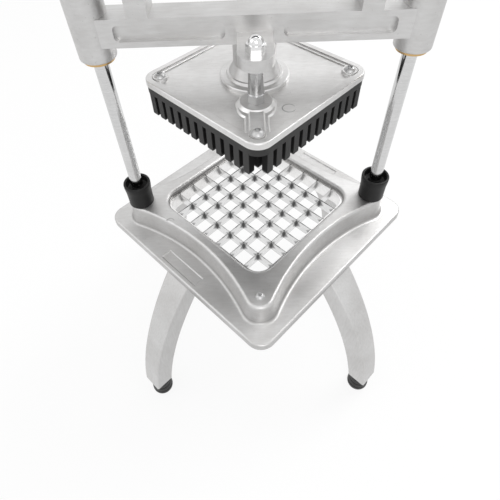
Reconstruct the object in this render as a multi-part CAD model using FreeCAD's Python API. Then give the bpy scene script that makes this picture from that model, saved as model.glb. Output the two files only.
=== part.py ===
import FreeCAD, Part
import math
import os

# A push-down french fry cutter. All lengths are in millimetres and +Z is up.
# The origin is on the bench, under the middle of the blade opening. -Y is the front and +X is to the right.
# The square base is turned so that its corners lie on the X and Y axes. Its sides face the four diagonals.

Vec = FreeCAD.Vector
UP = Vec(0, 0, 1)
ORIGIN = Vec(0, 0, 0)
ROOT2 = math.sqrt(2.0)
DIAGONALS = {"rear_right": 45, "rear_left": 135, "front_left": 225, "front_right": 315}

# Lengths that differ by less than SAME count as equal. A cut runs REACH past the face that it starts from.
# Shapes of one casting run JOIN into each other before they are made one. A rounded profile has ROUND_STEPS.
SAME = 0.01
REACH = 1.0
JOIN = 0.2
ROUND_STEPS = 6

# Fits
hole_clearance = 0.1
thread_clearance = 0.05
nut_clearance = 0.02
lap_clearance = 0.05
thread_run_out = 0.3
rod_end_gap = 0.3
stop_gap = 0.3

# Proportions of every button screw and nut, as shares of its own head or corner radius
screw_dome_share = 0.62
screw_socket_share = 0.8
socket_floor_share = 0.45
nut_turning_share = 1.16
thread_beyond_nut = 1.0

# Blades
blade_pitch = 12.7
cells_per_side = 7
blade_thickness = 0.5
blade_height = 8.0
blade_edge_height = 0.6
blade_edge_thickness = 0.12

# Base casting
opening_margin = 1.55
opening_corner_radius = 11.0
opening_edge_round = 2.4
rim_width = 7.6
ledge_width = 21.9
plate_thickness = 5.0
plate_corner_radius = 10.0
plate_edge_round = 1.4
platform_height = 14.6
platform_skin = 4.0
platform_wall = 3.0
platform_draft = 2.0
platform_side_radius = 144.4
platform_tip_radius = 8.8
platform_edge_round = 2.2
platform_foot_round = 2.4
panel_length = 33.0
panel_width = 7.8
panel_depth = 0.7
panel_inset = 3.0
panel_shift = 1.6

# Blade frame and its screws
frame_wall_gap = 0.4
frame_skin = 1.0
frame_floor = 2.5
ear_thickness = 4.0
ear_half_width = 2.9
frame_screw_inset = 8.1
frame_screw_radius = 1.5
frame_screw_head_radius = 2.8
frame_nut_height = 2.4
frame_nut_across = 5.5

# Legs and feet
leg_drop = 99.4
leg_width = 15.4
leg_middle_width = 16.2
leg_top_width = 20.0
leg_top_thickness = 19.8
leg_bottom_thickness = 14.0
leg_spread = 43.5
leg_outer_bow = 8.6
leg_inner_bow = 8.0
leg_edge_round = 1.2
flange_thickness = 4.0
flange_half_length = 19.0
flange_depth = 19.0
flange_setback = 3.5
flange_corner_radius = 4.0
leg_screw_radius = 2.0
leg_screw_head_radius = 3.6
leg_screw_spacing = 28.4
leg_screw_bite = 3.6
foot_height = 20.0
foot_inset = 7.55
foot_radius = 7.8
foot_top_radius = 6.1
foot_tread_radius = 6.4
foot_tread_round = 2.4
foot_belly_height = 7.0
foot_shoulder_radius = 6.9
foot_shoulder_height = 17.0
foot_socket_clearance = 0.5
foot_screw_radius = 1.75
foot_screw_head_radius = 3.4
foot_screw_depth = 6.0
foot_screw_bite = 8.0

# Guide rods and bumpers
rod_radius = 4.0
rod_stub_radius = 3.0
rod_inset = 7.1
rod_boss_radius = 7.5
rod_boss_height = 11.0
rod_washer_radius = 6.0
rod_washer_thickness = 1.2
rod_nut_across = 10.0
rod_nut_height = 5.0
rod_nut_pocket_gap = 0.4
rod_thread_end = 1.4
rod_chamfer = 0.6
bumper_height = 18.0
bumper_top_radius = 8.9
bumper_bottom_radius = 8.4
bumper_round = 1.3
bumper_cup_radius = 7.3
bumper_cup_depth = 5.0
bumper_clearance = 0.15

# Pusher block
finger_gap = 2.6
finger_tip_round = 1.7
finger_length = 13.2
pusher_web = 4.2
pusher_corner_radius = 8.0
pusher_rest_gap = 75.0
tip_pass = 1.5

# Tray of the pushing head
tray_overhang = 0.4
tray_floor = 2.0
tray_height = 3.5
tray_lip = 3.4
tray_lip_round = 0.8
tray_step = 1.8
tray_step_height = 0.8
tray_step_round = 0.35
hub_radius = 18.5
hub_height = 2.4
hub_round = 0.9
hub_upper_radius = 14.5
hub_upper_height = 1.4
hub_upper_draft = 0.7
front_boss_offset = 26.0
front_boss_radius = 8.0
front_boss_height = 2.2
front_boss_skirt_radius = 8.9
front_boss_skirt_offset = 29.4
rib_half_width = 3.2
rib_height = 1.6
rib_skirt_half_width = 5.2
skirt_height = 0.8
corner_boss_inset = 7.9
corner_boss_radius = 4.0
corner_boss_draft = 0.5
pusher_screw_radius = 1.75
pusher_screw_head_radius = 3.1
pusher_screw_bite = 3.6

# Yoke, bushings and studs
bushing_radius = 6.0
bushing_running_clearance = 0.05
bushing_seat_clearance = 0.05
bushing_flange_radius = 8.0
bushing_flange = 1.5
sleeve_radius = 9.6
sleeve_length = 38.0
sleeve_round = 1.0
yoke_rise = 8.0
yoke_bar_height = 14.0
yoke_bar_half_width = 8.0
yoke_pocket_depth = 2.6
yoke_pocket_border = 3.0
yoke_pocket_round = 2.5
column_radius = 11.0
column_flare = 2.5
lug_thickness = 6.0
lug_radius = 8.5
stud_radius = 2.5
stud_bite = 3.2
post_radius = 4.5
post_round = 0.5
cap_nut_across = 8.0
cap_nut_height = 4.0
cap_nut_dome = 3.6

# Handle
handle_span = 49.0
upright_thickness = 10.0
upright_half_width = 8.0
upright_rise = 54.0
upright_head_radius = 11.5
handle_bar_radius = 5.0
handle_bar_clearance = 0.1
grip_radius = 13.0
grip_end_gap = 0.3
grip_end_round = 3.0
grip_groove_width = 1.6
grip_groove_depth = 0.9
grip_groove_pitch = 8.0
end_nut_radius = 8.0
end_nut_length = 8.5
end_nut_bore = 6.5
end_nut_round = 3.0

# Rod ends
travel_up = 60.0
cap_radius = 7.2
cap_height = 11.0
cap_bore_depth = 6.5
cap_round = 4.0

# Sizes that follow
blade_count = cells_per_side - 1
cutting_half = cells_per_side * blade_pitch / 2
cutting_corner_radius = opening_corner_radius - opening_margin
opening_half = cutting_half + opening_margin
waist = opening_half + rim_width
plate_half = waist + ledge_width
plate_bottom = foot_height + leg_drop
plate_top = plate_bottom + plate_thickness
platform_top = plate_top + platform_height
blade_top = platform_top - platform_skin
blade_bottom = blade_top - blade_height
side_reach = waist + platform_side_radius
tip_span = (platform_side_radius + platform_tip_radius) ** 2 - side_reach ** 2 / 2
tip_centre = side_reach / ROOT2 - math.sqrt(tip_span)
platform_tip = tip_centre + platform_tip_radius
rod_offset = platform_tip - rod_inset
frame_screw_offset = platform_tip - frame_screw_inset
bumper_top = platform_top + bumper_height
finger_pitch = blade_pitch / 2
fingers_per_side = 2 * cells_per_side
finger_width = finger_pitch - finger_gap
pusher_half = (fingers_per_side - 1) * finger_pitch / 2 + finger_width / 2
tip_bottom = platform_top + pusher_rest_gap
slot_top = tip_bottom + finger_length
tray_bottom = slot_top + pusher_web
tray_half = pusher_half + tray_overhang
tray_corner_radius = pusher_corner_radius + tray_overhang
tray_floor_top = tray_bottom + tray_floor
hub_top = tray_floor_top + hub_height + hub_upper_height
corner_boss_offset = tray_half * ROOT2 - tray_corner_radius * (ROOT2 - 1) - corner_boss_inset
travel_down = pusher_rest_gap + platform_skin + blade_height + tip_pass
flange_bottom = bumper_top + travel_down + stop_gap
sleeve_bottom = flange_bottom + bushing_flange
sleeve_top = sleeve_bottom + sleeve_length
yoke_bottom = sleeve_bottom + yoke_rise
yoke_top = yoke_bottom + yoke_bar_height
lug_top = yoke_bottom + lug_thickness
handle_height = yoke_top + upright_rise
cap_bottom = sleeve_top + travel_up + stop_gap
leg_screw_reach = plate_half - flange_setback - flange_depth / 2


def diagonal_turn(shape, degrees):
    """Turns a shape about the vertical axis of the whole machine."""
    turned = shape.copy()
    turned.rotate(ORIGIN, UP, degrees)
    return turned


def cylinder(radius, bottom, top, x=0.0, y=0.0):
    return Part.makeCylinder(radius, top - bottom, Vec(x, y, bottom), UP)


def lying_cylinder(radius, start, end):
    """A cylinder on the axis of the handle, along X."""
    return Part.makeCylinder(radius, end - start, Vec(start, 0, handle_height), Vec(1, 0, 0))


def cone(low_radius, high_radius, bottom, top, x=0.0, y=0.0):
    return Part.makeCone(low_radius, high_radius, top - bottom, Vec(x, y, bottom), UP)


def box(low, high):
    return Part.makeBox(high[0] - low[0], high[1] - low[1], high[2] - low[2], Vec(*low))


def edges_where(shape, test):
    """The edges of a shape whose box passes a test."""
    return [edge for edge in shape.Edges if test(edge.BoundBox)]


def upright_edges(shape):
    return edges_where(shape, lambda b: b.XLength < SAME and b.YLength < SAME)


def level_edges(shape, height):
    return edges_where(shape, lambda b: b.ZLength < SAME and abs(b.ZMin - height) < SAME)


def rounded_square(half, corner_radius, bottom, top):
    """A square prism with rounded upright corners, turned so that its corners lie on X and Y."""
    block = box((-half, -half, bottom), (half, half, top))
    block = block.makeFillet(corner_radius, upright_edges(block))
    return diagonal_turn(block, 45)


def platform_outline(offset, height):
    """The outline of the platform: four arcs that curve inwards, joined by small round tips on the axes."""
    tip_radius = platform_tip_radius + offset
    tips = [Vec(tip_centre, 0, height), Vec(0, tip_centre, height)]
    tips += [Vec(-tip_centre, 0, height), Vec(0, -tip_centre, height)]
    reach = side_reach / ROOT2
    sides = [Vec(reach, reach, height), Vec(-reach, reach, height)]
    sides += [Vec(-reach, -reach, height), Vec(reach, -reach, height)]
    edges = []
    for k in range(4):
        tip = tips[k]
        before = tip + (sides[k - 1] - tip).normalize() * tip_radius
        after = tip + (sides[k] - tip).normalize() * tip_radius
        out = Vec(tip.x, tip.y, 0).normalize() * (tip_centre + tip_radius)
        edges.append(Part.Arc(before, Vec(out.x, out.y, height), after).toShape())
        next_tip = tips[(k + 1) % 4]
        arrive = next_tip + (sides[k] - next_tip).normalize() * tip_radius
        middle = Vec(sides[k].x, sides[k].y, 0).normalize() * (waist + offset)
        edges.append(Part.Arc(after, Vec(middle.x, middle.y, height), arrive).toShape())
    return Part.Wire(edges)


def hex_prism(across, bottom, top, x=0.0, y=0.0):
    """A hexagonal prism, sized across its flats."""
    radius = across / math.sqrt(3.0)
    angles = [math.radians(60 * k) for k in range(7)]
    corners = [Vec(x + radius * math.cos(a), y + radius * math.sin(a), bottom) for a in angles]
    return Part.Face(Part.makePolygon(corners)).extrude(Vec(0, 0, top - bottom))


def button_screw(radius, head_radius, length):
    """A screw that points down from a domed head with a hexagon socket. Its head starts at height 0."""
    head_height = head_radius * screw_dome_share
    ball_radius = (head_radius ** 2 + head_height ** 2) / (2 * head_height)
    ball = Part.makeSphere(ball_radius, Vec(0, 0, head_height - ball_radius))
    head = ball.common(cylinder(head_radius, 0, head_height))
    socket_floor = head_height * socket_floor_share
    head = head.cut(hex_prism(head_radius * screw_socket_share, socket_floor, head_height + REACH))
    return head.fuse(cylinder(radius, -length, JOIN)).removeSplitter()


def hex_nut(across, bore_radius, bottom, top, x=0.0, y=0.0):
    """A nut with its corners turned down at both ends."""
    corner = across / math.sqrt(3.0)
    turn = Part.makeSphere(corner * nut_turning_share, Vec(x, y, (bottom + top) / 2))
    nut = hex_prism(across, bottom, top, x, y).common(turn)
    return nut.cut(cylinder(bore_radius, bottom - REACH, top + REACH, x, y))


def placed(shape, x, y, z):
    copy = shape.copy()
    copy.translate(Vec(x, y, z))
    return copy


def upside_down(shape):
    turned = shape.copy()
    turned.rotate(ORIGIN, Vec(1, 0, 0), 180)
    return turned


def revolved(points, x=0.0, y=0.0):
    """A solid turned about the vertical line at x, y from points given as (radius, height)."""
    ring = [Vec(x + radius, y, height) for radius, height in points]
    face = Part.Face(Part.makePolygon(ring + ring[:1]))
    return face.revolve(Vec(x, y, 0), UP, 360)


def quarter_turn():
    """The angles from 0 to 90 degrees at which a rounded profile gets its points."""
    return [math.radians(90 * k / ROUND_STEPS) for k in range(ROUND_STEPS + 1)]


def group(shapes):
    return Part.makeCompound(shapes)


# Base casting: the plate, the hollow platform with its opening, and the bosses for the rods
plate = rounded_square(plate_half, plate_corner_radius, plate_bottom, plate_top)
plate = plate.makeFillet(plate_edge_round, level_edges(plate, plate_top))
foot_wire = platform_outline(platform_draft, plate_top - JOIN)
top_wire = platform_outline(0, platform_top)
platform_block = Part.makeLoft([foot_wire, top_wire], True, True)
platform = platform_block.makeFillet(platform_edge_round, level_edges(platform_block, platform_top))
hollow_foot = platform_outline(platform_draft - platform_wall, plate_bottom - JOIN)
hollow_top = platform_outline(-platform_wall, blade_top)
hollow = Part.makeLoft([hollow_foot, hollow_top], True, True)
base_plate = plate.fuse(platform).removeSplitter()
platform_foot = edges_where(
    base_plate,
    lambda b: b.ZLength < SAME
    and abs(b.ZMin - plate_top) < SAME
    and max(abs(b.XMin), abs(b.XMax), abs(b.YMin), abs(b.YMax)) < platform_tip + platform_draft + SAME,
)
base_plate = base_plate.makeFillet(platform_foot_round, platform_foot).cut(hollow)
boss_bottom = platform_top - rod_boss_height
for side in (-1, 1):
    boss = cylinder(rod_boss_radius, boss_bottom, platform_top - REACH, side * rod_offset)
    base_plate = base_plate.fuse(boss.common(platform_block))
opening = rounded_square(opening_half, opening_corner_radius, blade_top - REACH, platform_top + REACH)
base_plate = base_plate.cut(opening).removeSplitter()
opening_rim = edges_where(
    base_plate,
    lambda b: b.ZLength < SAME
    and abs(b.ZMin - platform_top) < SAME
    and max(abs(b.XMin), abs(b.XMax), abs(b.YMin), abs(b.YMax)) < opening_half * ROOT2,
)
base_plate = base_plate.makeFillet(opening_edge_round, opening_rim)
for side in (-1, 1):
    rod_x = side * rod_offset
    screw_y = side * frame_screw_offset
    rod_hole = cylinder(rod_stub_radius + hole_clearance, plate_bottom - REACH, platform_top + REACH, rod_x)
    hole_radius = frame_screw_radius + hole_clearance
    screw_hole = cylinder(hole_radius, blade_top - REACH, platform_top + REACH, 0, screw_y)
    pocket_radius = rod_washer_radius + rod_nut_pocket_gap
    nut_pocket = cylinder(pocket_radius, plate_bottom - REACH, boss_bottom, rod_x)
    base_plate = base_plate.cut(rod_hole).cut(screw_hole).cut(nut_pocket)
for degrees in (45, 225):
    outer_edge = plate_half - panel_inset
    panel = box(
        (outer_edge - panel_width, -panel_length / 2 - panel_shift, plate_top - panel_depth),
        (outer_edge, panel_length / 2 - panel_shift, plate_top + REACH),
    )
    panel = panel.makeChamfer(panel_depth, level_edges(panel, plate_top - panel_depth))
    base_plate = base_plate.cut(diagonal_turn(panel, degrees))
for degrees in DIAGONALS.values():
    for side in (-1, 1):
        hole_y = side * leg_screw_spacing / 2
        tapped_top = plate_bottom + leg_screw_bite + thread_run_out
        tapped_radius = leg_screw_radius + thread_clearance
        tapped = cylinder(tapped_radius, plate_bottom - REACH, tapped_top, leg_screw_reach, hole_y)
        base_plate = base_plate.cut(diagonal_turn(tapped, degrees))

# Blade frame: a slotted ring under the opening, with an ear to the front and one to the rear.
# Its own opening is the cutting area, so its walls close the outermost cells.
frame_half = waist - platform_wall - frame_wall_gap
slot_half = frame_half - frame_skin
frame_bottom = blade_bottom - frame_floor
blade_frame = rounded_square(frame_half, opening_corner_radius, frame_bottom, blade_top)
for side in (-1, 1):
    reach = side * frame_screw_offset
    ear_low = min(side * cutting_half, reach)
    ear_high = max(side * cutting_half, reach)
    ear_bottom = blade_top - ear_thickness
    ear = box((-ear_half_width, ear_low, ear_bottom), (ear_half_width, ear_high, blade_top))
    ear_end = cylinder(ear_half_width, ear_bottom, blade_top, 0, reach)
    blade_frame = blade_frame.fuse(ear).fuse(ear_end)
frame_opening = rounded_square(cutting_half, cutting_corner_radius, frame_bottom - REACH, blade_top + REACH)
blade_frame = blade_frame.cut(frame_opening)
slot_width = blade_thickness + 2 * lap_clearance
blade_offsets = [(k - (blade_count - 1) / 2) * blade_pitch for k in range(blade_count)]
for offset in blade_offsets:
    slot_low = (-slot_half, offset - slot_width / 2, blade_bottom)
    slot_high = (slot_half, offset + slot_width / 2, blade_top + REACH)
    slot = box(slot_low, slot_high)
    blade_frame = blade_frame.cut(diagonal_turn(slot, 45)).cut(diagonal_turn(slot, 135))
for side in (-1, 1):
    ear_hole = cylinder(hole_radius, frame_bottom, blade_top + REACH, 0, side * frame_screw_offset)
    blade_frame = blade_frame.cut(ear_hole)
blade_frame = blade_frame.removeSplitter()

# Blade strips: two crossed sets that lap halfway through each other
strip_half = slot_half - 2 * lap_clearance


def blade_strip(offset, from_top):
    """One strip along X, sharpened on top, with a slot halfway through it at every crossing."""
    half = blade_thickness / 2
    shoulder = blade_top - blade_edge_height
    edge = blade_edge_thickness / 2
    profile = [(-half, blade_bottom), (half, blade_bottom), (half, shoulder)]
    profile += [(edge, blade_top), (-edge, blade_top), (-half, shoulder)]
    points = [Vec(-strip_half, offset + y, z) for y, z in profile]
    strip = Part.Face(Part.makePolygon(points + points[:1])).extrude(Vec(2 * strip_half, 0, 0))
    middle = (blade_top + blade_bottom) / 2
    for crossing in blade_offsets:
        low = middle - lap_clearance if from_top else blade_bottom - REACH
        high = blade_top + REACH if from_top else middle + lap_clearance
        cut_low = (crossing - slot_width / 2, offset - REACH, low)
        cut_high = (crossing + slot_width / 2, offset + REACH, high)
        strip = strip.cut(box(cut_low, cut_high))
    return strip


blades_lower = group([diagonal_turn(blade_strip(offset, True), 45) for offset in blade_offsets])
blades_upper = group([diagonal_turn(blade_strip(offset, False), 135) for offset in blade_offsets])

# Screws and nuts of the blade frame
frame_screw_length = platform_skin + ear_thickness + frame_nut_height + thread_beyond_nut
frame_screw = button_screw(frame_screw_radius, frame_screw_head_radius, frame_screw_length)
blade_frame_screws = group([
    placed(frame_screw, 0, side * frame_screw_offset, platform_top) for side in (-1, 1)
])
nut_top = blade_top - ear_thickness
nut_bore = frame_screw_radius + nut_clearance
nut_low = nut_top - frame_nut_height
blade_frame_nuts = group([
    hex_nut(frame_nut_across, nut_bore, nut_low, nut_top, 0, side * frame_screw_offset) for side in (-1, 1)
])

# One leg, made along +X: a bowed bar that ends in a flange under the plate
foot_offset = plate_half + leg_spread - foot_inset


def leg_shape():
    """The bar follows one arc outside and one inside, and widens upwards. Its flange takes two screws."""
    outer_top = Vec(plate_half, 0, plate_bottom)
    outer_end = Vec(plate_half + leg_spread, 0, foot_height)
    inner_top = Vec(plate_half - leg_top_thickness, 0, plate_bottom)
    inner_end = Vec(plate_half + leg_spread - leg_bottom_thickness, 0, foot_height)
    outer_middle = (outer_top + outer_end) * 0.5 + Vec(leg_outer_bow, 0, 0)
    inner_middle = (inner_top + inner_end) * 0.5 + Vec(leg_inner_bow, 0, 0)
    edges = [
        Part.Arc(outer_top, outer_middle, outer_end).toShape(),
        Part.makeLine(outer_end, inner_end),
        Part.Arc(inner_end, inner_middle, inner_top).toShape(),
        Part.makeLine(inner_top, outer_top),
    ]
    bar = Part.Face(Part.Wire(edges)).extrude(Vec(0, leg_top_width, 0))
    bar.translate(Vec(0, -leg_top_width / 2, 0))
    corners = []
    for side in (-1, 1):
        low = Vec(0, side * leg_width / 2, foot_height)
        middle = Vec(0, side * leg_middle_width / 2, (foot_height + plate_bottom) / 2)
        top = Vec(0, side * leg_top_width / 2, plate_bottom)
        corners.append((low, middle, top))
    left, right = corners
    front_edges = [
        Part.Arc(*left).toShape(),
        Part.makeLine(left[2], right[2]),
        Part.Arc(*reversed(right)).toShape(),
        Part.makeLine(right[0], left[0]),
    ]
    front_view = Part.Face(Part.Wire(front_edges)).extrude(Vec(plate_half + leg_spread + leg_outer_bow, 0, 0))
    bar = bar.common(front_view)
    long_edges = edges_where(bar, lambda b: b.ZLength > leg_drop / 2)
    bar = bar.makeFillet(leg_edge_round, long_edges)
    flange_outer = plate_half - flange_setback
    flange = box(
        (flange_outer - flange_depth, -flange_half_length, plate_bottom - flange_thickness),
        (flange_outer, flange_half_length, plate_bottom),
    )
    flange = flange.makeFillet(flange_corner_radius, upright_edges(flange))
    leg = bar.fuse(flange)
    hole_low = plate_bottom - flange_thickness - REACH
    for side in (-1, 1):
        hole_y = side * leg_screw_spacing / 2
        radius = leg_screw_radius + hole_clearance
        leg = leg.cut(cylinder(radius, hole_low, plate_bottom + REACH, leg_screw_reach, hole_y))
    thread_top = foot_height + foot_screw_bite + thread_run_out
    radius = foot_screw_radius + thread_clearance
    leg = leg.cut(cylinder(radius, foot_height - REACH, thread_top, foot_offset))
    return leg.removeSplitter()


def foot_shape():
    """A tall rubber foot, wider at its belly, with a deep socket underneath for its screw."""
    widening = foot_radius - foot_tread_radius
    points = [(0, 0)]
    for angle in quarter_turn():
        radius = foot_tread_radius + widening * math.sin(angle)
        points.append((radius, foot_tread_round * (1 - math.cos(angle))))
    points += [(foot_radius, foot_belly_height), (foot_shoulder_radius, foot_shoulder_height)]
    points += [(foot_top_radius, foot_height), (0, foot_height)]
    foot = revolved(points, foot_offset)
    socket_radius = foot_screw_head_radius + foot_socket_clearance
    socket = cylinder(socket_radius, -REACH, foot_screw_depth, foot_offset)
    passage = cylinder(foot_screw_radius + hole_clearance, -REACH, foot_height + REACH, foot_offset)
    return foot.cut(socket).cut(passage)


one_leg = leg_shape()
one_foot = foot_shape()
leg_screw_length = flange_thickness + leg_screw_bite
leg_screw_up = upside_down(button_screw(leg_screw_radius, leg_screw_head_radius, leg_screw_length))
foot_screw_length = foot_height - foot_screw_depth + foot_screw_bite
foot_screw_up = upside_down(button_screw(foot_screw_radius, foot_screw_head_radius, foot_screw_length))
foot_screws = []
leg_screws = []
for degrees in DIAGONALS.values():
    foot_screws.append(diagonal_turn(placed(foot_screw_up, foot_offset, 0, foot_screw_depth), degrees))
    for side in (-1, 1):
        seat = plate_bottom - flange_thickness
        spot = placed(leg_screw_up, leg_screw_reach, side * leg_screw_spacing / 2, seat)
        leg_screws.append(diagonal_turn(spot, degrees))

# Guide rods with their washers, nuts, bumpers and end caps
washer_bottom = boss_bottom - rod_washer_thickness
nut_bottom = washer_bottom - rod_nut_height
rod_bottom = nut_bottom - rod_thread_end
rod_top = cap_bottom + cap_bore_depth - rod_end_gap


def guide_rod(x):
    """A round bar whose shoulder stands on the platform. Its thinner threaded end goes through the boss."""
    bar = cylinder(rod_radius, platform_top, rod_top, x)
    bar = bar.makeChamfer(rod_chamfer, level_edges(bar, rod_top))
    stub = cylinder(rod_stub_radius, rod_bottom, platform_top + REACH, x)
    stub = stub.makeChamfer(rod_chamfer, level_edges(stub, rod_bottom))
    return bar.fuse(stub).removeSplitter()


def bumper(x):
    """A rubber sleeve that widens a little upwards, with a rounded rim around a cup in its top."""
    bore = rod_radius + bumper_clearance
    points = [(bore, platform_top), (bumper_bottom_radius, platform_top)]
    for angle in quarter_turn():
        radius = bumper_top_radius - bumper_round * (1 - math.cos(angle))
        points.append((radius, bumper_top - bumper_round * (1 - math.sin(angle))))
    cup_floor = bumper_top - bumper_cup_depth
    points += [(bumper_cup_radius, bumper_top), (bumper_cup_radius, cup_floor), (bore, cup_floor)]
    return revolved(points, x)


def rod_cap(x):
    """A round-topped stop that closes the end of a rod."""
    top = cap_bottom + cap_height
    cap = cylinder(cap_radius, cap_bottom, top, x)
    cap = cap.makeFillet(cap_round, level_edges(cap, top))
    bore = cylinder(rod_radius + thread_clearance, cap_bottom - REACH, cap_bottom + cap_bore_depth, x)
    return cap.cut(bore)


washers = []
nuts = []
washer_hole_radius = rod_stub_radius + hole_clearance
nut_hole_radius = rod_stub_radius + nut_clearance
for side in (-1, 1):
    rod_x = side * rod_offset
    washer = cylinder(rod_washer_radius, washer_bottom, boss_bottom, rod_x)
    washers.append(washer.cut(cylinder(washer_hole_radius, washer_bottom - REACH, boss_bottom + REACH, rod_x)))
    nuts.append(hex_nut(rod_nut_across, nut_hole_radius, nut_bottom, washer_bottom, rod_x))


# Pusher block: fingers on a web. The four corner fingers are left out, because the opening is round there.
def finger_shape():
    """One finger with a rounded tip, centred on the vertical axis."""
    half = finger_width / 2
    finger = box((-half, -half, tip_bottom), (half, half, slot_top + JOIN))
    return finger.makeFillet(finger_tip_round, level_edges(finger, tip_bottom))


one_finger = finger_shape()
finger_offsets = [(k - (fingers_per_side - 1) / 2) * finger_pitch for k in range(fingers_per_side)]
outermost = max(finger_offsets) - SAME
fingers = []
for u in finger_offsets:
    for v in finger_offsets:
        if abs(u) < outermost or abs(v) < outermost:
            fingers.append(placed(one_finger, u, v, 0))
web = box((-pusher_half, -pusher_half, slot_top), (pusher_half, pusher_half, tray_bottom))
web = web.makeFillet(pusher_corner_radius, upright_edges(web))
pusher_block = diagonal_turn(web.multiFuse(fingers), 45)
corner_spots = [(corner_boss_offset, 0), (0, corner_boss_offset)]
corner_spots += [(-corner_boss_offset, 0), (0, -corner_boss_offset)]
thread_low = tray_bottom - pusher_screw_bite - thread_run_out
for x, y in corner_spots:
    thread = cylinder(pusher_screw_radius + thread_clearance, thread_low, tray_bottom + REACH, x, y)
    pusher_block = pusher_block.cut(thread)
pusher_block = pusher_block.removeSplitter()

# Tray: a shallow dish with a raised lip, a two-tier hub, front and rear bosses, ribs and corner bosses
tray_top = tray_bottom + tray_height
tray = rounded_square(tray_half, tray_corner_radius, tray_bottom, tray_top)
tray = tray.makeFillet(tray_lip_round, level_edges(tray, tray_top))
lip_inside = tray_half - tray_lip
lip_corner = tray_corner_radius - tray_lip
step_top = tray_floor_top + tray_step_height
tray = tray.cut(rounded_square(lip_inside, lip_corner, step_top, tray_top + REACH))
dish = rounded_square(lip_inside - tray_step, lip_corner - tray_step, tray_floor_top, step_top)
tray = tray.cut(dish)
dish_reach = dish.BoundBox.XMax + SAME
step_rim = edges_where(
    tray,
    lambda b: b.ZLength < SAME
    and abs(b.ZMin - step_top) < SAME
    and max(abs(b.XMin), abs(b.XMax), abs(b.YMin), abs(b.YMax)) < dish_reach,
)
tray = tray.makeFillet(tray_step_round, step_rim)
hub_shoulder = tray_floor_top + hub_height
hub = cylinder(hub_radius, tray_floor_top - JOIN, hub_shoulder)
hub = hub.makeFillet(hub_round, level_edges(hub, hub_shoulder))
hub = hub.fuse(cone(hub_upper_radius + hub_upper_draft, hub_upper_radius, hub_shoulder - JOIN, hub_top))
tray = tray.fuse(hub)
boss_low = tray_floor_top - JOIN
boss_top = tray_floor_top + front_boss_height
corner_boss_top = tray_floor_top + rib_height


def rib_shape(side, half_width, height):
    """A rib from the hub to a corner boss. Its side walls lean at 45 degrees."""
    foot = half_width + height
    section = [(-foot, 0), (foot, 0), (half_width, height), (-half_width, height)]
    corners = [Vec(x, side * hub_upper_radius, boss_low + z) for x, z in section]
    length = side * (corner_boss_offset - hub_upper_radius)
    return Part.Face(Part.makePolygon(corners + corners[:1])).extrude(Vec(0, length, 0))


def boss_shape(offset, radius, height):
    """A round boss at this distance in front of the hub or behind it. Its wall leans at 45 degrees."""
    return cone(radius + height, radius, boss_low, boss_low + height, 0, offset)


for side in (-1, 1):
    tray = tray.fuse(rib_shape(side, rib_skirt_half_width, skirt_height + JOIN))
    tray = tray.fuse(boss_shape(side * front_boss_skirt_offset, front_boss_skirt_radius, skirt_height + JOIN))
    tray = tray.fuse(rib_shape(side, rib_half_width, rib_height + JOIN))
    tray = tray.fuse(boss_shape(side * front_boss_offset, front_boss_radius, front_boss_height + JOIN))
corner_boss_foot = corner_boss_radius + corner_boss_draft
for x, y in corner_spots:
    tray = tray.fuse(cone(corner_boss_foot, corner_boss_radius, boss_low, corner_boss_top, x, y))
pusher_hole = pusher_screw_radius + hole_clearance
for x, y in corner_spots:
    tray = tray.cut(cylinder(pusher_hole, tray_bottom - REACH, corner_boss_top + REACH, x, y))
stud_bottom = boss_top - stud_bite
stud_thread_low = stud_bottom - thread_run_out
for side in (-1, 1):
    boss_y = side * front_boss_offset
    tray = tray.cut(cylinder(stud_radius + thread_clearance, stud_thread_low, boss_top + REACH, 0, boss_y))
pusher_tray = tray.removeSplitter()
pusher_screw_length = corner_boss_top - tray_bottom + pusher_screw_bite
pusher_screw = button_screw(pusher_screw_radius, pusher_screw_head_radius, pusher_screw_length)
pusher_screws = group([placed(pusher_screw, x, y, corner_boss_top) for x, y in corner_spots])

# Yoke: a column on the hub, a cross bar, a sleeve around each rod, two lugs and two uprights for the handle
yoke = cylinder(column_radius, hub_top, yoke_bottom + REACH)
yoke = yoke.fuse(cone(column_radius + column_flare, column_radius, hub_top, hub_top + 2 * column_flare))
bar = box((-rod_offset, -yoke_bar_half_width, yoke_bottom), (rod_offset, yoke_bar_half_width, yoke_top))
yoke = yoke.fuse(bar)
upright_outer = handle_span + upright_thickness
for side in (-1, 1):
    for face in (-1, 1):
        inner_wall = face * (yoke_bar_half_width - yoke_pocket_depth)
        outer_wall = face * (yoke_bar_half_width + REACH)
        pocket_near = side * (column_radius + yoke_pocket_border)
        pocket_far = side * (rod_offset - sleeve_radius - yoke_pocket_border)
        pocket_ends = sorted((pocket_near, pocket_far))
        pocket = box(
            (pocket_ends[0], min(inner_wall, outer_wall), yoke_bottom + yoke_pocket_border),
            (pocket_ends[1], max(inner_wall, outer_wall), yoke_top - yoke_pocket_border),
        )
        corners = edges_where(pocket, lambda b: b.XLength < SAME and b.ZLength < SAME)
        yoke = yoke.cut(pocket.makeFillet(yoke_pocket_round, corners))
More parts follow.
